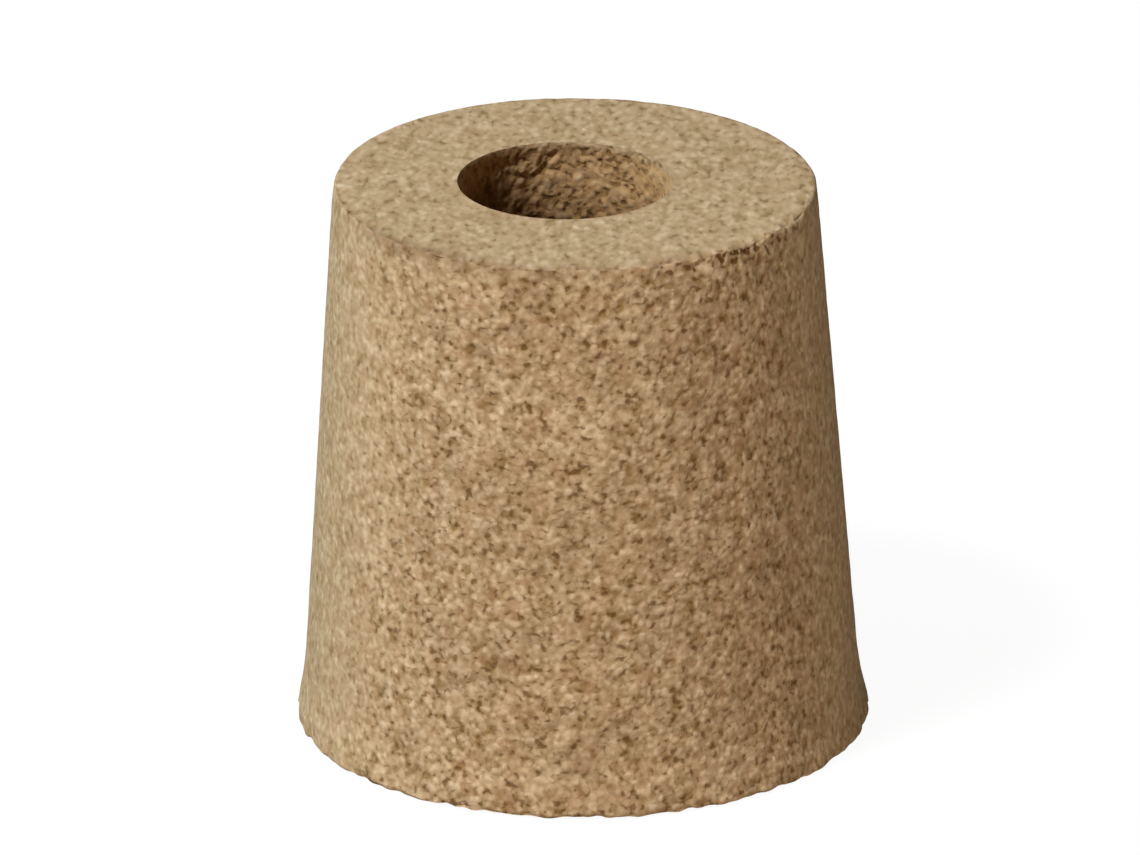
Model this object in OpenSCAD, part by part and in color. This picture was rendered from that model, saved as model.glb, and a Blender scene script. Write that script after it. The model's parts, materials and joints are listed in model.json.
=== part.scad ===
// Bored cork stopper: one piece of pressed cork granules, ground to a taper with a slightly
// flared foot and bored right through. It stands on its wide end, with the origin at the middle
// of the base and +Z up. The taper was ground a little out of square, and the bore is off centre.

/* [Body] */
// Height from the base to the narrow end
height = 26.4; // [15:0.1:60]
// Diameter of the wide end, across the edge of the foot
base_d = 27; // [24:0.1:60]
// Diameter of the narrow end
top_d = 22.4; // [16:0.1:26]
// How far the ground taper leans off square towards -X, in degrees
lean = 0.8; // [0:0.1:3]

/* [Foot] */
// Height of the stretch where the side flares out to the base
flare_h = 3.4; // [1:0.1:10]
// How far the foot stands out past the straight taper
flare_reach = 0.35; // [0:0.05:2]

/* [Edges] */
// Width of the worn edge round each end
edge_break = 0.2; // [0.1:0.05:1]

/* [Bore] */
// Diameter of the bore
bore_d = 10; // [4:0.1:13]
// Centre of the bore from the middle of the base, along X
bore_x = -0.8; // [-2:0.1:2]
// Centre of the bore from the middle of the base, along Y
bore_y = 0.2; // [-2:0.1:2]

/* [Hidden] */

$fn = 96;
cork_colour = "#B29470";
base_r = base_d / 2;
top_r = top_d / 2;
// Radius that the straight taper has at the base, inside the flare
foot_r = base_r - flare_reach;
// Middle of the narrow end, which the lean carries towards -X
top_x = -height * tan(lean);
// Spare length that the leaning taper has past each end, to be cut off square
end_stock = 1 + base_r * sin(lean);
// Straight steps that draw the curve of the flare
flare_steps = 12;
// Spare length of the drill past each end
drill_over = 1;

// Radius of the side at height z: a straight taper, and a parabola for the flare
function taper_r(z) = foot_r + (top_r - foot_r) * z / height;
function flare_r(z) = flare_reach * pow(max(0, 1 - z / flare_h), 2);
function side_r(z) = taper_r(z) + flare_r(z);

// Half section of the ground taper, with its spare length at both ends
module taper_section() {
    low_z = -end_stock;
    high_z = height + end_stock;
    step = (flare_h - low_z) / flare_steps;
    flare = [for (i = [0 : flare_steps]) [side_r(low_z + i * step), low_z + i * step]];
    polygon(concat([[0, low_z]], flare, [[taper_r(high_z), high_z], [0, high_z]]));
}

module ground_taper() {
    rotate([0, -lean, 0])
        rotate_extrude()
            taper_section();
}

// A 45 degree cone that stands on the base plane: its flat end cuts the base square,
// and its flank breaks the edge of the foot
module base_cut() {
    edge_r = base_r - edge_break;
    cylinder(h = height, r1 = edge_r, r2 = edge_r + height);
}

// The same cone upside down, for the narrow end
module top_cut() {
    edge_r = top_r - edge_break;
    translate([top_x, 0, 0])
        cylinder(h = height, r1 = edge_r + height, r2 = edge_r);
}

module bore() {
    translate([bore_x, bore_y, -drill_over])
        cylinder(h = height + 2 * drill_over, d = bore_d);
}

module stopper() {
    color(cork_colour)
        difference() {
            intersection() {
                ground_taper();
                base_cut();
                top_cut();
            }
            bore();
        }
}

stopper();
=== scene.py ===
"""Bored cork stopper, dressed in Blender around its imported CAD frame.

The stopper is one block of pressed cork granules, ground to a taper and bored right through. Its surface
is worked out with numpy on a grid that follows the CAD solid, with the granules as real relief, and the
finer grain is in the material. The file is laid out as an add-on and run as a script.
"""
import itertools
import json
import math

import bpy
import numpy as np
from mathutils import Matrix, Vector


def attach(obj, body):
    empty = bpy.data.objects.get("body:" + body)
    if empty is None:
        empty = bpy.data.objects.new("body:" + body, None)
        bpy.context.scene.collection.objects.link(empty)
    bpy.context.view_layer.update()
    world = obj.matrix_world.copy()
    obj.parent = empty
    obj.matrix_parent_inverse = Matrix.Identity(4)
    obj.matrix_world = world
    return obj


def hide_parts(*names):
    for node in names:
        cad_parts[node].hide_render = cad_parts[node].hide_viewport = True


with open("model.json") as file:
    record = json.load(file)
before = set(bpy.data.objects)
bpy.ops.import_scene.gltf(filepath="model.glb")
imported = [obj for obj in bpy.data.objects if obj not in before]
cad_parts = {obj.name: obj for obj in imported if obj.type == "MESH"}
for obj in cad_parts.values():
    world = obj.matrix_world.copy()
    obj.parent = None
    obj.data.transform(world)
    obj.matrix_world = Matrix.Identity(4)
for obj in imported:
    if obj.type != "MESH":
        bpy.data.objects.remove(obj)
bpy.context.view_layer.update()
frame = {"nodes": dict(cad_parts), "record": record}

bl_info = {
    "name": "Bored Cork Stopper",
    "version": (1, 0, 0),
    "blender": (4, 5, 0),
    "location": "View3D > Sidebar > Cork",
    "description": "Dresses a bored cork stopper and sets the stage for it",
    "category": "Object",
}

MM = 0.001


# Sizes read from the frame

# Points nearer to a height than this lie level with it
LEVEL = 0.001 * MM


def flat_end(points, height):
    """Middle and radius of the flat end at a height: the box round the CAD points that lie there."""
    level = points[np.abs(points[:, 2] - height) < LEVEL]
    low = level.min(axis=0)
    high = level.max(axis=0)
    return (low + high) / 2, float((high - low)[:2].mean() / 2)


def cad_points(node):
    """All points of a CAD node, as an array of rows."""
    mesh = frame["nodes"][node].data
    points = np.empty(len(mesh.vertices) * 3)
    mesh.vertices.foreach_get("co", points)
    return points.reshape(-1, 3)


SOLID = cad_points("stopper")
HEIGHT = float(SOLID[:, 2].max())
BASE_MIDDLE, BASE_FLAT_R = flat_end(SOLID, 0.0)
TOP_MIDDLE, TOP_FLAT_R = flat_end(SOLID, HEIGHT)
BORE = next(mount for mount in frame["record"]["mounts"] if mount["name"] == "bore")
BORE_MIDDLE = np.array(BORE["pos_m"])
BORE_R = BORE["dims"]["r_mm"] * MM


def linear(code):
    """Linear red, green and blue of an sRGB hex colour such as #B49C78."""
    parts = [int(code[i:i + 2], 16) / 255 for i in (1, 3, 5)]
    return [p / 12.92 if p <= 0.04045 else ((p + 0.055) / 1.055) ** 2.4 for p in parts]


def length(name, description, default):
    """A length property, in metres, given in millimetres."""
    return bpy.props.FloatProperty(
        name=name, description=description, default=default * MM, min=0.0, precision=5,
        unit="LENGTH", subtype="DISTANCE")


def colour(name, description, code):
    """A colour property, given as an sRGB hex value."""
    return bpy.props.FloatVectorProperty(
        name=name, description=description, default=linear(code), min=0.0, max=1.0, subtype="COLOR")


class CorkSizes(bpy.types.PropertyGroup):
    """Sizes of the stopper's edges, foot and relief"""
    edge_break: length("Edge break", "Width of the worn edge round the base", 0.2)
    rim_break: length("Rim break", "Width of the crisper edge round the narrow end", 0.1)
    flare_height: length("Flare height", "Height over which the foot flares out", 3.4)
    flare_reach: length("Flare reach", "How far the foot stands out past the taper", 0.35)
    granule: length("Granule", "Mean size of the cork granules that stand out as relief", 0.95)
    side_relief: length("Side relief", "Depth of the relief on the ground side", 0.09)
    end_relief: length("End relief", "Depth of the relief on the two cut ends", 0.03)
    bore_relief: length("Bore relief", "Depth of the torn relief in the bore", 0.14)
    edge_loss: length("Edge loss", "Depth to which granules are lost from the edges", 0.3)
    gouge: length("Gouge", "Depth of the scratch in the rear of the bore", 0.14)


class CorkColours(bpy.types.PropertyGroup):
    """Colours of the cork"""
    dark: colour("Dark granule", "The darkest granules", "#91754B")
    mid: colour("Middling granule", "The commonest granules", "#B49B78")
    pale: colour("Pale granule", "The palest granules", "#D0B997")
    red: colour("Red granule", "Granules with more bark in them", "#B48B6C")
    # Also the colour of the shade painted in the hollows, along the rim's darker band and deep in the bore
    pore_and_shade: colour("Pore", "Small pores, bits of bark and darkened cork", "#4F2D04")
    fleck: colour("Fleck", "Small pale flecks", "#E6D2B4")
    # The cut end colour is also drawn on the far left and right flanks, as painted sheen
    cut: colour("Cut end", "The fresher cork of the cut ends", "#CBB68D")
    torn: colour("Torn bore", "The fresh, redder cork of the bore's torn wall", "#EBBD82")


# Noise on arrays of points

# Multipliers and step of a common integer hash, and the largest number that it gives
HASH_FIRST = np.uint32(0x7FEB352D)
HASH_SECOND = np.uint32(0x846CA68B)
HASH_STEP = 0x9E3779B9
HASH_MOST = 0xFFFFFFFF
# Where the random draws of each field of noise start
SEEDS = {"granule": 11, "small": 18, "fine": 20, "lump": 31, "fray": 41, "spill": 51, "ragged": 61,
         "rim_band": 71}


def mixed(bits):
    """Whole numbers with their bits well mixed, by two rounds of multiply and shift."""
    bits = (bits ^ (bits >> np.uint32(16))) * HASH_FIRST
    bits = (bits ^ (bits >> np.uint32(15))) * HASH_SECOND
    return bits ^ (bits >> np.uint32(16))


def lots(cells, seed):
    """Three repeatable random numbers from 0 to 1 for each whole-number cell."""
    x, y, z = (cells[:, k].astype(np.int64).astype(np.uint32) for k in range(3))
    bits = mixed(x + mixed(y + mixed(z + np.uint32(seed))))
    drawn = [mixed(bits + np.uint32(k * HASH_STEP & HASH_MOST)) for k in (1, 2, 3)]
    return np.stack(drawn, axis=1) / float(HASH_MOST)


def cloud(points, size, seed):
    """Smooth noise from -1 to 1 with lumps of a size: random values at the corners of a cubic lattice,
    blended by the smooth step 6t^5 - 15t^4 + 10t^3 along each axis."""
    place = points / size
    cell = np.floor(place)
    t = place - cell
    t = t ** 3 * (t * (6 * t - 15) + 10)
    total = np.zeros(len(points))
    for corner in itertools.product((0, 1), repeat=3):
        share = np.where(corner, t, 1 - t).prod(axis=1)
        total += share * lots(cell + corner, seed)[:, 0]
    return 2 * total - 1


def granules(points, size, seed):
    """Voronoi cells of a mean size, as pressed granules. Gives for each point how far inside its granule
    it lies, from 0 on a seam, the granule's slant there, which is its random tilt times the step to its
    middle, and the granule's random numbers."""
    place = points / size
    cell = np.floor(place)
    first = np.full(len(points), np.inf)
    second = first.copy()
    step = np.zeros_like(points)
    own = np.zeros_like(points)
    for offset in itertools.product((-1, 0, 1), repeat=3):
        other = cell + offset
        away = other + lots(other, seed) - place
        reach = np.linalg.norm(away, axis=1)
        nearer = reach < first
        second = np.where(nearer, first, np.minimum(second, reach))
        first = np.where(nearer, reach, first)
        step[nearer] = away[nearer]
        own[nearer] = lots(other[nearer], seed + 1)
    return second - first, ((own - 0.5) * step).sum(axis=1), own


def ramp(value, low, high):
    """0 at low, 1 at high and a smooth step between."""
    t = np.clip((value - low) / (high - low), 0, 1)
    return t * t * (3 - 2 * t)


def bell(value, middle, width):
    """1 at the middle, falling off to nothing within about two widths."""
    return np.exp(-((value - middle) / width) ** 2)


# The cork body

# Columns round the stopper, and rings in each stretch of its surface
COLUMNS = 384
SIDE_RINGS = 138
TOP_RINGS = 30
MOUTH_RINGS = 44
DEEP_RINGS = 24
BASE_RINGS = 14
# How much closer the rings of the side and of the narrow end lie near their edges
SIDE_CROWDING = 0.55
TOP_CROWDING = 0.4
# Depth of the bore that can be looked into, which has the closer rings
MOUTH_DEPTH = 5.5 * MM
# Zones of the surface, in the order of its rings
SIDE, TOP, WALL, BASE = range(4)
# Edges bent more than this are shaded as sharp
SHARP = math.radians(62)


def soft_least(a, b, width):
    """The lesser of two values, rounded off where they are within a width of each other."""
    near = np.clip(0.5 + 0.5 * (b - a) / width, 0, 1)
    return b + (a - b) * near - width * near * (1 - near)


def side_radius(sizes, height, turn):
    """Radius of the side at a height and a turn round the axis: a straight taper that leans towards -X,
    with a parabola for the flare of the foot, cut by a 45 degree cone at each end for the worn edge."""
    base_r = BASE_FLAT_R + sizes.edge_break
    top_r = TOP_FLAT_R + sizes.edge_break
    lean = (BASE_MIDDLE[0] - TOP_MIDDLE[0]) / HEIGHT
    along = height - base_r * np.cos(turn) * lean
    foot_r = base_r - sizes.flare_reach
    taper = foot_r + (top_r - foot_r) * along / HEIGHT
    flare = sizes.flare_reach * np.maximum(0, 1 - along / sizes.flare_height) ** 2
    low_cone = BASE_FLAT_R + height
    high_cone = top_r - sizes.rim_break + HEIGHT - height
    worn = soft_least(taper + flare, low_cone, 0.5 * sizes.edge_break)
    return soft_least(worn, high_cone, 0.5 * sizes.rim_break)


def circle(middle, radius, height, turn):
    """Points round a circle, with one row for each height."""
    across = middle[0] + radius * np.cos(turn)
    along = middle[1] + radius * np.sin(turn)
    return np.stack(np.broadcast_arrays(across, along, height), axis=-1)


def ease(count, crowding):
    """Shares from 0 to 1, left out at 1, that lie closer together near both ends."""
    t = np.arange(count) / count
    return t - crowding * np.sin(2 * np.pi * t) / (2 * np.pi)


def body_grid(sizes):
    """The stopper's smooth surface as a grid of rings and columns, closed both ways: up the leaning side,
    in across the narrow end, down the bore and out across the base. Also gives each ring's zone."""
    turn = np.linspace(0, 2 * np.pi, COLUMNS, endpoint=False)[None, :]
    rise = (HEIGHT * ease(SIDE_RINGS, SIDE_CROWDING))[:, None]
    lean = (TOP_MIDDLE - BASE_MIDDLE)[:2, None, None]
    middle = BASE_MIDDLE[:2, None, None] + lean * rise / HEIGHT
    side = circle(middle, side_radius(sizes, rise, turn), rise, turn)
    rim = circle(TOP_MIDDLE, TOP_FLAT_R + sizes.edge_break - sizes.rim_break, HEIGHT, turn)
    mouth = circle(BORE_MIDDLE, BORE_R, HEIGHT, turn)
    foot = circle(BORE_MIDDLE, BORE_R, 0.0, turn)
    edge = circle(BASE_MIDDLE, BASE_FLAT_R, 0.0, turn)
    inward = ease(TOP_RINGS, TOP_CROWDING)[:, None, None]
    top = rim + (mouth - rim) * inward
    near = MOUTH_DEPTH * np.arange(MOUTH_RINGS) / MOUTH_RINGS
    deep = MOUTH_DEPTH + (HEIGHT - MOUTH_DEPTH) * np.arange(DEEP_RINGS) / DEEP_RINGS
    drop = (HEIGHT - np.concatenate([near, deep]))[:, None]
    bore = circle(BORE_MIDDLE, BORE_R, drop, turn)
    outward = (np.arange(BASE_RINGS) / BASE_RINGS)[:, None, None]
    base = foot + (edge - foot) * outward
    zone = np.repeat([SIDE, TOP, WALL, BASE], [len(side), len(top), len(bore), len(base)])
    return np.concatenate([side, top, bore, base]), zone


def grid_normals(grid):
    """Outward unit normals of a closed grid: the step along a ring crossed with the step between rings."""
    along = np.roll(grid, -1, axis=1) - np.roll(grid, 1, axis=1)
    across = np.roll(grid, -1, axis=0) - np.roll(grid, 1, axis=0)
    normal = np.cross(along, across)
    return normal / np.linalg.norm(normal, axis=-1, keepdims=True)


def out_from(points, middle):
    """Level distance of each point from an upright line through a middle."""
    return np.hypot(points[:, 0] - middle[0], points[:, 1] - middle[1])


def past_rim(points, zone):
    """How far each point lies past the edge of the narrow end: down the side, or below 0 on the end."""
    return np.where(zone == SIDE, HEIGHT - points[:, 2], out_from(points, TOP_MIDDLE) - TOP_FLAT_R)


def axis_turn(points):
    """Turn of each point round the stopper's axis, from +X."""
    return np.arctan2(points[:, 1], points[:, 0])


def bore_turn(points):
    """Turn of each point round the bore's axis, from +X."""
    return np.arctan2(points[:, 1] - BORE_MIDDLE[1], points[:, 0] - BORE_MIDDLE[0])


# Ends of the gouge in the rear of the bore, as a turn round the bore and a depth below the narrow end
GOUGE_LOW = np.array([math.radians(104.0) * BORE_R, 1.5 * MM])
GOUGE_HIGH = np.array([math.radians(94.0) * BORE_R, 0.5 * MM])
GOUGE_WIDE = 0.1 * MM


def gouged(points):
    """1 along a straight scratch across the unrolled wall of the bore, falling off to its sides."""
    place = np.stack([bore_turn(points) * BORE_R, HEIGHT - points[:, 2]], axis=1)
    line = GOUGE_HIGH - GOUGE_LOW
    share = np.clip((place - GOUGE_LOW) @ line / (line @ line), 0, 1)
    away = np.linalg.norm(place - GOUGE_LOW - share[:, None] * line, axis=1)
    return bell(away, 0.0, GOUGE_WIDE)


# Height of the smoother band under the rim, and how far the ends' smooth cut wavers where it spills over
SMOOTH_BAND = 1.2 * MM
SPILL_WAVER = 0.35 * MM
SPILL_LUMP = 0.6 * MM
# Turns that the smooth left and right of the bore's wall reach over
SMOOTH_LEFT = math.radians(32)
SMOOTH_RIGHT = math.radians(30)


def smooth_cut_and_sheen(points, zone):
    """How smooth the cork is cut at each point, from 0 to 1: fully on the two ends, spilling over the rim
    along a wavering line, and partly under the left of the rim and at the left and right of the bore. At
    the far left and right of the side it is painted sheen: paler cut colour and smoother grain along the
    flanks."""
    turn = axis_turn(points)
    under_rim = 0.7 * bell(HEIGHT - points[:, 2], 0.0, SMOOTH_BAND) * ramp(-np.cos(turn), -0.1, 0.7)
    # Painted sheen: paler, smoother cut cork along the far left and right flanks of the side
    far_left = 0.8 * ramp(-np.cos(turn), 0.5, 0.98)
    far_right = 0.7 * ramp(np.cos(turn), 0.75, 0.99)
    waver = SPILL_WAVER * cloud(points, SPILL_LUMP, SEEDS["spill"])
    spilt = 1 - ramp(past_rim(points, zone) + waver, -0.3 * MM, 0.4 * MM)
    on_side = np.maximum.reduce([under_rim, far_left, far_right, spilt])
    round_bore = np.abs(bore_turn(points))
    in_bore = 0.95 * bell(round_bore, 0.0, SMOOTH_RIGHT) + 0.9 * bell(round_bore, np.pi, SMOOTH_LEFT)
    return np.select([zone == SIDE, zone == TOP, zone == WALL], [on_side, spilt, in_bore], 1.0)


# Places along the rim that crumble: the turn of each one's middle and the turn that it reaches over
CRUMBLED_FRONT = (math.radians(-42), math.radians(26))
CRUMBLED_REAR = (math.radians(20), math.radians(25))
# Heights of the crumbled bands under the rim and over the foot
CRUMBLED_RIM = 0.55 * MM
CRUMBLED_FOOT = 0.5 * MM
# How many times narrower the rim's crumbled band is on the end than on the side
END_NARROWER = 5


def crumbling(points, zone):
    """How much the cork crumbles at each point: along the rim at the front right and less at the rear
    right, along the foot and in the rough of the bore. It is below 0 at the far left and right of the side,
    which keeps dark pits off the painted sheen there."""
    turn = axis_turn(points)
    along_rim = np.maximum(bell(turn, *CRUMBLED_FRONT), 0.5 * bell(turn, *CRUMBLED_REAR))
    from_rim = past_rim(points, zone) * np.where(zone == SIDE, 1, -END_NARROWER)
    at_rim = bell(from_rim, 0.1 * MM, CRUMBLED_RIM) * along_rim
    at_foot = 0.35 * bell(points[:, 2], 0.0, CRUMBLED_FOOT)
    flank_sheen = 0.45 * ramp(np.abs(np.cos(turn)), 0.7, 0.98)
    in_bore = 0.35 * (1 - smooth_cut_and_sheen(points, zone)) * ramp(HEIGHT - points[:, 2], 0.0, 0.3 * MM)
    in_zone = [zone == SIDE, zone == TOP, zone == WALL]
    return np.select(in_zone, [at_rim + at_foot - flank_sheen, 0.6 * at_rim, in_bore], 0.0)


# Depths at which the shade painted on the bore's wall starts and is darkest, and heights over which it
# fades out by the base
BORE_SHADE_DEPTHS = (0.8 * MM, 5.5 * MM)
BORE_SHADE_FADE = (0.5 * MM, 8 * MM)


def painted_bore_shade(points):
    """How much shade is painted on the bore's wall at each point: more with depth, soonest at its left
    where the bore lies in shadow, and less again by the base."""
    left = ramp(-np.cos(bore_turn(points)), 0.0, 0.8)
    inward = ramp((HEIGHT - points[:, 2]) * (1 + 1.2 * left), *BORE_SHADE_DEPTHS)
    return inward * ramp(points[:, 2], *BORE_SHADE_FADE)


# Widths of the darker band along the rim on the side and on the narrow end, and the size of its patches
RIM_BAND_SIDE = 0.7 * MM
RIM_BAND_END = 0.35 * MM
RIM_BAND_PATCH = 0.5 * MM


def darker_rim_band(points, zone):
    """How much darker the cork is drawn at each point along the edge of the narrow end: a soft, patchy band
    on both sides of the edge, most at its front left and not at its rear or right."""
    turn = axis_turn(points)
    band = bell(past_rim(points, zone), 0.0, np.where(zone == SIDE, RIM_BAND_SIDE, RIM_BAND_END))
    band = band * (1 - ramp(np.cos(turn), -0.5, 0.6)) * ramp(-np.sin(turn), -0.1, 0.85)
    return band * (1.25 + 0.6 * cloud(points, RIM_BAND_PATCH, SEEDS["rim_band"])) * np.isin(zone, (SIDE, TOP))


def softened(values):
    """Values on a closed grid, each blended with its neighbours both ways."""
    for axis in (0, 1):
        values = (2 * values + np.roll(values, 1, axis) + np.roll(values, -1, axis)) / 4
    return values


# Granules lie flatter than they are wide, and smaller ones have these shares of the main ones' size
PRESSED = np.array([1.0, 1.0, 1.2])
SMALL = 0.55
FINE = 0.36
# Share of the small granules that are torn out all over
TORN_OUT = 0.2
# Lowest relief, as a share of its zone's depth
DEEPEST = -1.6


def torn_surface(sizes, points, zone, main, small, fine):
    """Height of the granules above the smooth surface at each point, in metres.

    Each granule has its own height and its own slant, and sinks towards its seams. The ground side has
    shallow relief with some granules torn out, the cut ends are almost flat, and the bore is torn deeply
    in fine granules, but not by its two clean-cut mouths.
    """
    inside, slant, own = main
    small_inside, small_slant, small_own = small
    fine_inside, fine_slant, fine_own = fine
    crown = ramp(inside, 0.0, 0.45) - 1
    fine_crown = ramp(fine_inside, 0.0, 0.6) - 1
    torn = np.where(small_own[:, 1] < TORN_OUT, ramp(small_inside, 0.0, 0.5), 0.0)
    lump = 0.35 * cloud(points, 2.2 * sizes.granule, SEEDS["lump"])
    chips = 0.5 * (own[:, 0] - 0.5) + 0.9 * slant + 0.35 * crown + 0.7 * small_slant + lump - 0.35
    crumbs = 0.9 * (fine_own[:, 0] - 0.7) + 0.8 * fine_slant + 0.4 * fine_crown + 0.5 * lump - 0.3 * torn
    on_side = np.clip(chips - 0.9 * torn, DEEPEST, 0.15)
    on_end = np.clip(0.6 * chips - 0.8 * torn, DEEPEST, 0.0)
    in_bore = np.clip(crumbs, DEEPEST, 0.1)
    rough = 1 - smooth_cut_and_sheen(points, zone)
    clean_cut = ramp(np.minimum(HEIGHT - points[:, 2], points[:, 2]), 0.05 * MM, 0.9 * MM)
    near_bore = ramp(out_from(points, BORE_MIDDLE) - BORE_R, 0.0, 0.4 * MM)
    return np.select(
        [zone == SIDE, zone == WALL],
        [sizes.side_relief * on_side * rough, sizes.bore_relief * in_bore * clean_cut * rough],
        sizes.end_relief * on_end * near_bore)


# Upright line that the foot's wear is measured from
AXIS = (0.0, 0.0)
# Places along the rim that have worn most: the turn of each one's middle and the turn that it reaches over
WORN_FRONT = (math.radians(-44), math.radians(24))
WORN_REAR = (math.radians(28), math.radians(22))
# Reach of the wear from the edge of the rim and of the foot
RIM_WEAR = 0.35 * MM
FOOT_WEAR = 0.4 * MM
# Share of the small granules that are lost along the foot
LOST_LOW = 0.25
# Sizes of the lumps that the rim frays in, and of those that the foot is ragged with
FRAY_LUMP = 0.5 * MM
RAGGED_FINE = 0.3 * MM
RAGGED_COARSE = 0.8 * MM


def edge_wear(sizes, points, zone, small):
    """Depth lost at each point along the edges of the two ends, in metres: first by lost granules, a few
    all round and most at the front right of the rim, and then by fraying, a patchy rounding of the rim and
    a ragged foot."""
    small_inside, _, small_own = small
    turn = axis_turn(points)
    front_right = bell(turn, *WORN_FRONT)
    rear_right = bell(turn, *WORN_REAR)
    front = ramp(-np.sin(turn), -0.1, 0.5)
    left = ramp(-np.cos(turn), 0.2, 0.8) * ramp(-np.sin(turn), -0.5, 0.0)
    top_in = np.minimum(0, out_from(points, TOP_MIDDLE) - TOP_FLAT_R - sizes.edge_break)
    base_in = np.minimum(0, out_from(points, AXIS) - BASE_FLAT_R - sizes.edge_break)
    outside = zone != WALL
    by_top = sizes.edge_loss * bell(np.hypot(HEIGHT - points[:, 2], top_in), 0.0, RIM_WEAR) * outside
    by_base = sizes.edge_loss * bell(np.hypot(points[:, 2], base_in), 0.0, FOOT_WEAR) * outside
    odds = 0.4 * front_right + 0.1 * front
    lost_high = np.where(small_own[:, 2] < odds, ramp(small_inside, 0.0, 0.3), 0.0)
    lost_low = np.where(small_own[:, 2] < LOST_LOW, ramp(small_inside, 0.0, 0.35), 0.0)
    lost = by_top * 1.5 * lost_high + by_base * 0.6 * lost_low
    fray = 0.25 + 0.25 * cloud(points, FRAY_LUMP, SEEDS["fray"])
    worn = 0.08 + 0.5 * front_right + 0.25 * rear_right + 1.1 * np.maximum(front, left)
    ragged = 0.3 + 0.5 * cloud(points, RAGGED_FINE, SEEDS["ragged"])
    ragged = ragged + 0.3 * cloud(points, RAGGED_COARSE, SEEDS["ragged"] + 1)
    return lost, fray * by_top * worn + 0.9 * np.maximum(ragged, 0) * by_base


def cork_relief(sizes, points, zone):
    """Height of the cork above its smooth surface at each point, in metres, how much shade is painted there
    for its hollows, and the tone of its granule. The height is that of the torn surface less the wear of
    the edges and the gouge, and the painted shade is taken before the edges fray."""
    pressed = points * PRESSED
    warp = [cloud(pressed, 0.8 * sizes.granule, SEEDS["granule"] + k) for k in range(3)]
    warped = pressed + 0.25 * sizes.granule * np.stack(warp, axis=1)
    main = granules(warped, sizes.granule, SEEDS["granule"])
    small = granules(warped, SMALL * sizes.granule, SEEDS["small"])
    fine = granules(warped, FINE * sizes.granule, SEEDS["fine"])
    lost, frayed = edge_wear(sizes, points, zone, small)
    relief = torn_surface(sizes, points, zone, main, small, fine) - lost
    relief = relief - sizes.gouge * gouged(points) * (zone == WALL)
    # Painted shade: the lower the relief lies, the darker its colour is drawn, as shade in its hollows
    side_hollow = ramp(-relief, 0.3 * sizes.side_relief, 1.6 * sizes.side_relief)
    bore_hollow = ramp(-relief, 0.3 * sizes.bore_relief, 1.5 * sizes.bore_relief)
    hollow = np.where(zone == WALL, 0.5 * bore_hollow, side_hollow)
    tone = main[2][:, 1]
    return relief - frayed, hollow, tone


def grid_faces(rings, columns):
    """Corner numbers of the quads of a grid that is closed both ways, turned to face outwards."""
    ring = np.arange(rings)[:, None]
    column = np.arange(columns)[None, :]
    next_ring = (ring + 1) % rings
    next_column = (column + 1) % columns
    corners = [ring * columns + column, ring * columns + next_column,
               next_ring * columns + next_column, next_ring * columns + column]
    return np.stack(corners, axis=-1).reshape(-1, 4)


# The square sheet that the surface is laid out on for baking, and the gap between its pieces
SHEET = 79.0 * MM
SHEET_GAP = 0.8 * MM


def laid_out(grid, zone):
    """Place of each face corner on a square sheet, from 0 to 1: the side and the bore unrolled, with the
    turn round the axis along one way and the height along the other, and the two ends flat beside them."""
    rings, columns = grid.shape[:2]
    ring = np.arange(rings)[:, None, None] + np.array([0, 0, 1, 1])
    column = np.arange(columns)[None, :, None] + np.array([0, 1, 1, 0])
    x, y, z = np.moveaxis(grid[ring % rings, column % columns], -1, 0)
    share = np.broadcast_to(column / columns, x.shape)
    base_r = BASE_FLAT_R + SHEET_GAP
    top_r = TOP_FLAT_R + SHEET_GAP
    upper = HEIGHT + 2 * SHEET_GAP
    side = (SHEET_GAP + share * (SHEET - 2 * SHEET_GAP), SHEET_GAP + z)
    base = (base_r + x, upper + base_r - y)
    top = (2 * base_r + top_r + x - TOP_MIDDLE[0], upper + top_r + y)
    bore = (SHEET - SHEET_GAP - HEIGHT + z, upper + SHEET_GAP + share * 2 * np.pi * BORE_R)
    in_zone = [zone[:, None, None, None] == k for k in (SIDE, TOP, WALL, BASE)]
    return np.select(in_zone, [np.stack(part, axis=-1) for part in (side, top, bore, base)]) / SHEET


def mesh_of(name, points, faces):
    """A smooth-shaded mesh from an array of points and an array of quads."""
    mesh = bpy.data.meshes.new(name)
    mesh.from_pydata(points.tolist(), [], faces.tolist())
    mesh.shade_smooth()
    mesh.set_sharp_from_angle(angle=SHARP)
    mesh.update()
    return mesh


def store(mesh, name, values, part="POINT"):
    """Keeps one number for each point or face of a mesh, for the material to read."""
    attribute = mesh.attributes.new(name, "FLOAT", part)
    attribute.data.foreach_set("value", values.astype(np.float32))


# Materials

def add(tree, kind, inputs=None, **settings):
    """Adds a shader node of a kind with its settings, and sets or links its inputs."""
    node = tree.nodes.new("ShaderNode" + kind)
    for key, value in settings.items():
        setattr(node, key, value)
    for key, value in (inputs or {}).items():
        if isinstance(value, bpy.types.NodeSocket):
            tree.links.new(value, node.inputs[key])
        else:
            node.inputs[key].default_value = value
    return node


def new_material(name):
    """An empty node material and its tree."""
    material = bpy.data.materials.new(name)
    material.use_nodes = True
    material.node_tree.nodes.clear()
    return material, material.node_tree


# Sizes of the cork's grain, in millimetres
CHIP = 1.1
CRUMB = 0.33
COMMA = 0.265
# Sizes of the lumps of its broken surface, in millimetres, and how much each adds
LUMPS = {0.5: 1.05, 0.29: 0.93, 0.17: 0.14}
# Size of the bends in the grain, and how far they reach, in millimetres
BEND = 0.3
BEND_REACH = 0.2
# The ends' grain is seen so flat that its depth would be too fine to show, so it is drawn this much longer
DRAWN_OUT = 1.9


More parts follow.
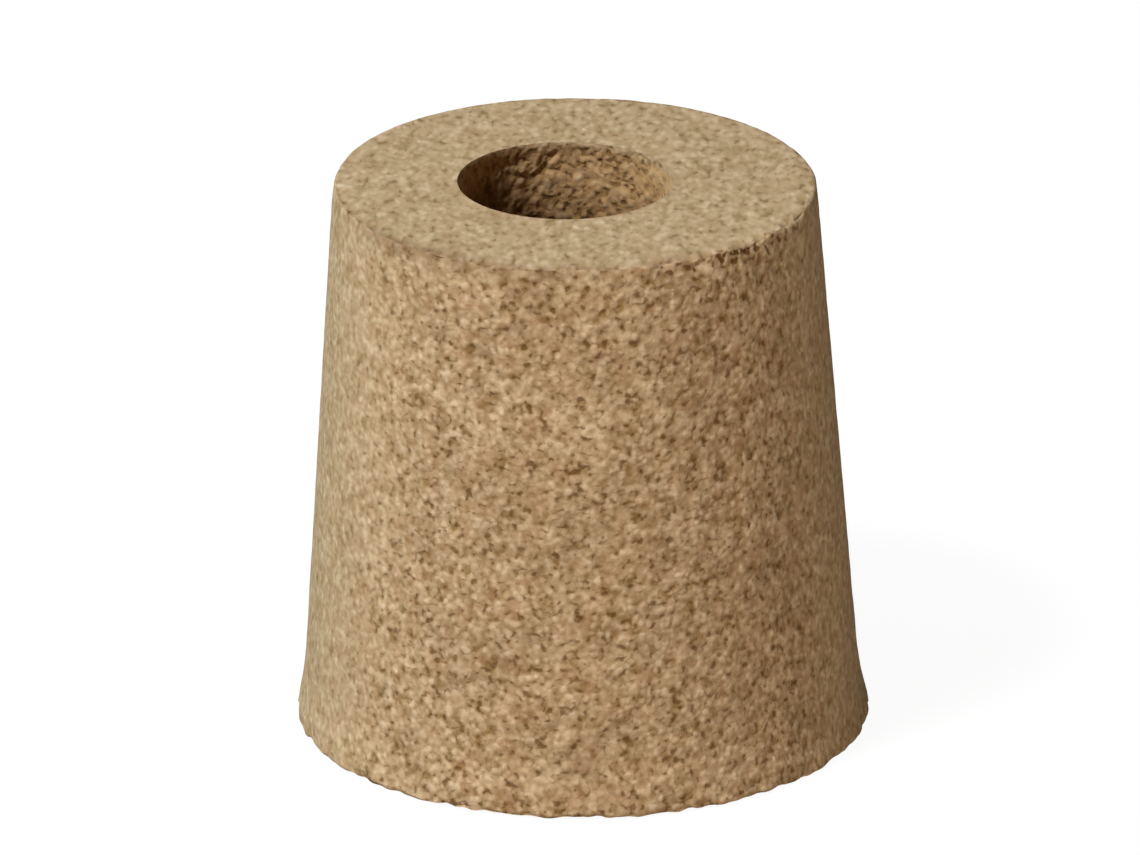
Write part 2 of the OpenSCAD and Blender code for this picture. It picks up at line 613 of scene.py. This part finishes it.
def cork_grain(tree):
    """Fields that the colour and the relief share.

    Large chips have a shade and a hue each, and crumbs a tone each. The broken surface is the crumbs'
    domes with lumps of three sizes added. Pits are where that surface and a field of small commas lie
    lowest, with more of them where the cork crumbles. Flecks are where it lies highest, and on a few crumbs
    they are strong. On the ends, all this is drawn out from front to back.
    """
    place = add(tree, "TexCoord").outputs["Object"]
    end = add(tree, "Attribute", attribute_name="end").outputs["Fac"]
    crumble = add(tree, "Attribute", attribute_name="crumble").outputs["Fac"]
    along = add(tree, "MapRange", {"Value": end, "To Min": 1 / MM, "To Max": 1 / (DRAWN_OUT * MM)})
    scale = add(tree, "CombineXYZ", {"X": 1 / MM, "Y": along.outputs[0], "Z": 1 / MM})
    in_mm = add(tree, "VectorMath", {0: place, 1: scale.outputs[0]}, operation="MULTIPLY").outputs[0]
    bend = add(tree, "TexNoise", {"Vector": in_mm, "Scale": 1 / BEND, "Detail": 1.0})
    bent = add(tree, "VectorMath", {0: bend.outputs["Color"], 1: [BEND_REACH] * 3, 2: in_mm},
               operation="MULTIPLY_ADD").outputs[0]
    chip = add(tree, "TexNoise", {"Vector": bent, "Scale": 1 / CHIP, "Detail": 1.0})
    chip_lot = add(tree, "SeparateColor", {"Color": chip.outputs["Color"]})
    crumb = add(tree, "TexVoronoi", {"Vector": bent, "Scale": 1 / CRUMB})
    crumb_lot = add(tree, "SeparateColor", {"Color": crumb.outputs["Color"]})
    dome = add(tree, "MapRange", {"Value": crumb.outputs["Distance"], "From Min": 0.8, "From Max": 0.1,
                                  "To Min": -0.36, "To Max": 0.38}, interpolation_type="SMOOTHSTEP")
    tall = add(tree, "Math", {0: crumb_lot.outputs[1], 1: 0.6, 2: 0.15}, operation="MULTIPLY_ADD")
    rise = add(tree, "Math", {0: dome.outputs[0], 1: tall.outputs[0]}, operation="MULTIPLY").outputs[0]
    for size, amount in LUMPS.items():
        lump = add(tree, "TexNoise", {"Vector": in_mm, "Scale": 1 / size, "Detail": 0.0})
        level = add(tree, "Math", {0: lump.outputs["Fac"], 1: 0.5}, operation="SUBTRACT")
        rise = add(tree, "Math", {0: level.outputs[0], 1: amount, 2: rise},
                   operation="MULTIPLY_ADD").outputs[0]
    comma = add(tree, "TexNoise", {"Vector": bent, "Scale": 1 / COMMA, "Detail": 0.0})
    share = add(tree, "MapRange", {"Value": crumble, "To Min": 0.32, "To Max": 0.75})
    low = add(tree, "Math", {0: rise, 1: share.outputs[0], 2: comma.outputs["Fac"]},
              operation="MULTIPLY_ADD")
    low = add(tree, "Math", {0: crumble, 1: -0.2, 2: low.outputs[0]}, operation="MULTIPLY_ADD")
    pit = add(tree, "MapRange", {"Value": low.outputs[0], "From Min": 0.38, "From Max": 0.13},
              interpolation_type="SMOOTHSTEP")
    high = add(tree, "MapRange", {"Value": rise, "From Min": 0.15, "From Max": 0.5},
               interpolation_type="SMOOTHSTEP")
    strong = add(tree, "MapRange", {"Value": crumb_lot.outputs[2], "From Min": 0.9, "From Max": 1.0,
                                    "To Min": 1.0, "To Max": 3.5})
    fleck = add(tree, "Math", {0: high.outputs[0], 1: strong.outputs[0]}, operation="MULTIPLY")
    return {"shade": chip_lot.outputs[0], "hue": chip_lot.outputs[1], "tone": crumb_lot.outputs[0],
            "rise": rise, "pit": pit.outputs[0], "fleck": fleck.outputs[0], "crumble": crumble}


# Strength of each effect on rough cork and on smoothly cut cork: the broken surface's share in the shade,
# what the bore adds to that, the flecks, the pits and the bump
BY_CUT = {"lumps": (0.92, 0.85), "bore_lumps": (0.7, -0.2), "flecks": (0.22, 0.18), "pits": (0.52, 0.36),
          "bump": (1.0, 0.15)}
# What crumbling adds to the pits, and what the bore adds to the pits and the bump
CRUMBLE_PITS = 0.4
BORE_PITS = -0.22
BORE_BUMP = -0.25
# The shade's start, and the shares that chips, crumbs and granules have in it
SHADE_START = 0.14
CHIP_SHADE = 0.42
CRUMB_SHADE = 0.34
GRANULE_SHADE = 0.1
# Shades of the dark, middling and pale granules
DARK_AT = 0.03
MID_AT = 0.5
PALE_AT = 0.97
# Most that red granules, the cut ends and the painted sheen of the flanks, the torn bore, the shade painted
# deep in the bore and the shade painted in the hollows change the colour
RED_SHARE = 0.26
CUT_SHARE = 0.3
TORN_SHARE = 0.6
BORE_SHADE_SHARE = 0.72
HOLLOW_SHARE = 0.35
# Height of the bump's crumbs and depth of its pits, in millimetres
CRUMB_HIGH = 0.06
PIT_DEEP = 0.03
SPECULAR = 0.05


def cork_material(colours):
    """Agglomerated cork: bark granules pressed with a binder and ground. The eye sees matt tan crumbs of
    many shades, each facing its own way, with small dark gaps, and smoother, paler cut ends. Shade is
    painted into the hollows and deep into the bore, and sheen onto the flanks."""
    material, tree = new_material("agglomerated_cork")
    # hollow and deep carry painted shade, in the relief's hollows and deep in the bore
    names = ("hollow", "cut", "bore", "deep", "tone")
    field = {name: add(tree, "Attribute", attribute_name=name).outputs["Fac"] for name in names}
    by_cut = {}
    for name, (rough, smooth) in BY_CUT.items():
        mapped = add(tree, "MapRange", {"Value": field["cut"], "To Min": rough, "To Max": smooth})
        by_cut[name] = mapped.outputs[0]
    grain = cork_grain(tree)

    lumps = add(tree, "Math", {0: field["bore"], 1: by_cut["bore_lumps"], 2: by_cut["lumps"]},
                operation="MULTIPLY_ADD").outputs[0]
    shade = SHADE_START
    for part, share in ((grain["shade"], CHIP_SHADE), (grain["tone"], CRUMB_SHADE), (grain["rise"], lumps),
                        (field["tone"], GRANULE_SHADE)):
        shade = add(tree, "Math", {0: part, 1: share, 2: shade}, operation="MULTIPLY_ADD").outputs[0]
    tan = add(tree, "ValToRGB", {"Fac": shade})
    stops = tan.color_ramp.elements
    stops[0].position = DARK_AT
    stops[0].color = (*colours.dark, 1)
    stops[1].position = PALE_AT
    stops[1].color = (*colours.pale, 1)
    middle = stops.new(MID_AT)
    middle.color = (*colours.mid, 1)

    red = add(tree, "MapRange", {"Value": grain["hue"], "From Min": 0.45, "From Max": 0.65}).outputs[0]
    pits = by_cut["pits"]
    for part, share in ((grain["crumble"], CRUMBLE_PITS), (field["bore"], BORE_PITS)):
        pits = add(tree, "Math", {0: part, 1: share, 2: pits}, operation="MULTIPLY_ADD").outputs[0]
    base = tan.outputs["Color"]
    layers = (
        (red, RED_SHARE, colours.red),
        (field["cut"], CUT_SHARE, colours.cut),
        (field["bore"], TORN_SHARE, colours.torn),
        (grain["fleck"], by_cut["flecks"], colours.fleck),
        (grain["pit"], pits, colours.pore_and_shade),
        # Painted shade in pore colour: deep in the bore, and in the hollows with the darker band along the
        # rim
        (field["deep"], BORE_SHADE_SHARE, colours.pore_and_shade),
        (field["hollow"], HOLLOW_SHARE, colours.pore_and_shade),
    )
    for part, share, tint in layers:
        factor = add(tree, "Math", {0: part, 1: share}, operation="MULTIPLY").outputs[0]
        base = add(tree, "Mix", {"Factor": factor, 6: base, 7: (*tint, 1)}, data_type="RGBA").outputs[2]

    height = add(tree, "Math", {0: grain["rise"], 1: CRUMB_HIGH}, operation="MULTIPLY")
    height = add(tree, "Math", {0: grain["pit"], 1: -PIT_DEEP, 2: height.outputs[0]},
                 operation="MULTIPLY_ADD")
    strength = add(tree, "Math", {0: field["bore"], 1: BORE_BUMP, 2: by_cut["bump"]},
                   operation="MULTIPLY_ADD")
    bump = add(tree, "Bump", {"Height": height.outputs[0], "Distance": MM, "Strength": strength.outputs[0]})
    matt = add(tree, "MapRange", {"Value": grain["tone"], "To Min": 0.75, "To Max": 1.0})
    surface = add(tree, "BsdfPrincipled", {"Base Color": base, "Roughness": matt.outputs[0],
                                           "Specular IOR Level": SPECULAR, "Normal": bump.outputs[0]})
    add(tree, "OutputMaterial", {"Surface": surface.outputs[0]})
    return material


# Operators

class CORK_OT_body(bpy.types.Operator):
    """Builds the granular cork body over the CAD solid"""
    bl_idname = "cork.body"
    bl_label = "Build Cork Body"

    def execute(self, context):
        sizes = context.scene.cork_sizes
        grid, ring_zone = body_grid(sizes)
        rings, columns = grid.shape[:2]
        points = grid.reshape(-1, 3)
        zone = np.repeat(ring_zone, columns)
        relief, hollow, tone = cork_relief(sizes, points, zone)
        relief = softened(relief.reshape(rings, columns))
        shaped = (grid + grid_normals(grid) * relief[..., None]).reshape(-1, 3)
        shaped[:, 2] = np.clip(shaped[:, 2], 0.0, HEIGHT)
        mesh = mesh_of("cork_body", shaped, grid_faces(rings, columns))
        sheet = mesh.uv_layers.new(name="OFBake")
        sheet.uv.foreach_set("vector", laid_out(grid, ring_zone).astype(np.float32).ravel())
        # Painted shade in the hollows, with the darker band along the rim added to it
        hollow = hollow + darker_rim_band(points, zone)
        store(mesh, "hollow", softened(hollow.reshape(rings, columns)).ravel())
        store(mesh, "cut", smooth_cut_and_sheen(points, zone))
        store(mesh, "crumble", crumbling(points, zone))
        store(mesh, "tone", tone)
        store(mesh, "end", np.isin(zone, (TOP, BASE)), "FACE")
        store(mesh, "bore", (zone == WALL) * ramp(HEIGHT - points[:, 2], 0.0, 0.5 * MM))
        # Painted shade deep in the bore's wall, soonest at its left
        store(mesh, "deep", (zone == WALL) * painted_bore_shade(points))
        body = bpy.data.objects.new("cork_body", mesh)
        context.scene.collection.objects.link(body)
        mesh.materials.append(cork_material(context.scene.cork_colours))
        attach(body, "root")
        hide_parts("stopper")
        return {"FINISHED"}


# The photograph's frame, and where the middle of the stopper falls in it, in pixels
PHOTO_WIDE = 1140
PHOTO_HIGH = 855
STOPPER_AT = (582.4, 446.8)
# The camera's sensor in millimetres, its rise and distance, and the width of the picture at the stopper
SENSOR = 36.0
CAMERA_RISE = math.radians(21.9)
CAMERA_AWAY = 0.7
VIEW_WIDE = 53.1 * MM
# Lamps: turn to the left of the camera, rise, distance, width, watts and colour
LAMPS = {
    "key": (48, 60, 0.45, 0.08, 1.8, "#FFFFFF"),
    "side": (105, 10, 0.6, 0.2, 1.3, "#E2F5FF"),
    "front": (-10, 1.5, 0.6, 0.05, 1.48, "#FFEAD4"),
}
WORLD_LIGHT = 0.035
WORLD_TINT = "#FFCF9E"
# The floor: its width, the colour of its bounce, and the paint and the glow that show it as white with a
# shadow
FLOOR_WIDE = 3.0
BOUNCE = "#A1988E"
FLOOR_PAINT = 0.08
FLOOR_GLOW = 0.95


def from_front(left, rise):
    """Unit vector towards a place that lies to the left of the camera's side, at a rise."""
    return Vector((-math.sin(left) * math.cos(rise), -math.cos(left) * math.cos(rise), math.sin(rise)))


def add_lamp(scene, name, left, rise, away, wide, watts, tint):
    """A round area lamp that faces the middle of the stopper."""
    lamp = bpy.data.lights.new(name, "AREA")
    lamp.shape = "DISK"
    lamp.size = wide
    lamp.energy = watts
    lamp.color = linear(tint)
    holder = bpy.data.objects.new(name, lamp)
    way = from_front(left, rise)
    holder.location = Vector((0, 0, HEIGHT / 2)) + way * away
    holder.rotation_euler = way.to_track_quat("Z", "Y").to_euler()
    scene.collection.objects.link(holder)


class CORK_OT_stage(bpy.types.Operator):
    """Sets the floor, the lamps, the world and the camera"""
    bl_idname = "cork.stage"
    bl_label = "Set Stage"

    def execute(self, context):
        scene = context.scene
        scene.view_settings.view_transform = "Standard"
        half = FLOOR_WIDE / 2
        corners = [(-half, -half, 0), (half, -half, 0), (half, half, 0), (-half, half, 0)]
        mesh = bpy.data.meshes.new("floor")
        mesh.from_pydata(corners, [], [(0, 1, 2, 3)])
        floor = bpy.data.objects.new("floor", mesh)
        scene.collection.objects.link(floor)
        mesh.materials.append(floor_material())
        for name, (left, rise, away, wide, watts, tint) in LAMPS.items():
            add_lamp(scene, name, math.radians(left), math.radians(rise), away, wide, watts, tint)
        set_world(scene)
        set_camera(scene)
        return {"FINISHED"}


def seen_directly(tree):
    """1 for rays that show a surface as it is: from the camera, off gloss or through glass."""
    path = add(tree, "LightPath")
    shine = add(tree, "Math", {0: path.outputs["Is Glossy Ray"], 1: path.outputs["Is Transmission Ray"]},
                operation="MAXIMUM")
    seen = add(tree, "Math", {0: path.outputs["Is Camera Ray"], 1: shine.outputs[0]}, operation="MAXIMUM")
    return seen.outputs[0]


def floor_material():
    """Matt white card: white to the eye with the stopper's soft shadow, and a plain warm grey bounce."""
    material, tree = new_material("matt_card")
    bounce = add(tree, "BsdfDiffuse", {"Color": (*linear(BOUNCE), 1)})
    paint = add(tree, "BsdfDiffuse", {"Color": (FLOOR_PAINT, FLOOR_PAINT, FLOOR_PAINT, 1)})
    glow = add(tree, "Emission", {"Color": (1, 1, 1, 1), "Strength": FLOOR_GLOW})
    white = add(tree, "AddShader", {0: paint.outputs[0], 1: glow.outputs[0]})
    card = add(tree, "MixShader", {0: seen_directly(tree), 1: bounce.outputs[0], 2: white.outputs[0]})
    add(tree, "OutputMaterial", {"Surface": card.outputs[0]})
    return material


def set_world(scene):
    """A white surround to the eye, and a weak warm light from all round."""
    world = bpy.data.worlds.new("surround")
    scene.world = world
    world.use_nodes = True
    tree = world.node_tree
    tree.nodes.clear()
    light = add(tree, "Background", {"Color": (*linear(WORLD_TINT), 1), "Strength": WORLD_LIGHT})
    white = add(tree, "Background", {"Color": (1, 1, 1, 1), "Strength": 1.0})
    surround = add(tree, "MixShader", {0: seen_directly(tree), 1: light.outputs[0], 2: white.outputs[0]})
    add(tree, "OutputWorld", {"Surface": surround.outputs[0]})


def set_camera(scene):
    """Looks at the stopper as the photograph does, turned a little so that it falls where it does there."""
    camera = bpy.data.cameras.new("camera")
    camera.sensor_width = SENSOR
    camera.lens = SENSOR * CAMERA_AWAY / VIEW_WIDE
    holder = bpy.data.objects.new("camera", camera)
    scene.collection.objects.link(holder)
    scene.camera = holder
    back = from_front(0.0, CAMERA_RISE)
    right = Vector((1, 0, 0))
    up = back.cross(right)
    pixel = VIEW_WIDE / PHOTO_WIDE
    middle = Vector((0, 0, HEIGHT / 2))
    aside = right * (STOPPER_AT[0] - PHOTO_WIDE / 2) * pixel
    above = up * (STOPPER_AT[1] - PHOTO_HIGH / 2) * pixel
    aim = middle - aside + above
    holder.location = middle + back * CAMERA_AWAY
    holder.rotation_euler = (holder.location - aim).to_track_quat("Z", "Y").to_euler()


class CORK_PT_panel(bpy.types.Panel):
    """Sizes, colours and steps of the cork stopper"""
    bl_idname = "CORK_PT_panel"
    bl_label = "Cork Stopper"
    bl_space_type = "VIEW_3D"
    bl_region_type = "UI"
    bl_category = "Cork"

    def draw(self, context):
        for group in (context.scene.cork_sizes, context.scene.cork_colours):
            for key in group.__annotations__:
                self.layout.prop(group, key)
        for step in STEPS:
            self.layout.operator(step.bl_idname)


STEPS = (CORK_OT_stage, CORK_OT_body)
CLASSES = (CorkSizes, CorkColours, *STEPS, CORK_PT_panel)


def register():
    for item in CLASSES:
        bpy.utils.register_class(item)
    bpy.types.Scene.cork_sizes = bpy.props.PointerProperty(type=CorkSizes)
    bpy.types.Scene.cork_colours = bpy.props.PointerProperty(type=CorkColours)


def unregister():
    del bpy.types.Scene.cork_colours
    del bpy.types.Scene.cork_sizes
    for item in reversed(CLASSES):
        bpy.utils.unregister_class(item)


def main():
    register()
    bpy.ops.cork.stage()
    bpy.ops.cork.body()
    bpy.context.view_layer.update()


if __name__ == "__main__":
    main()
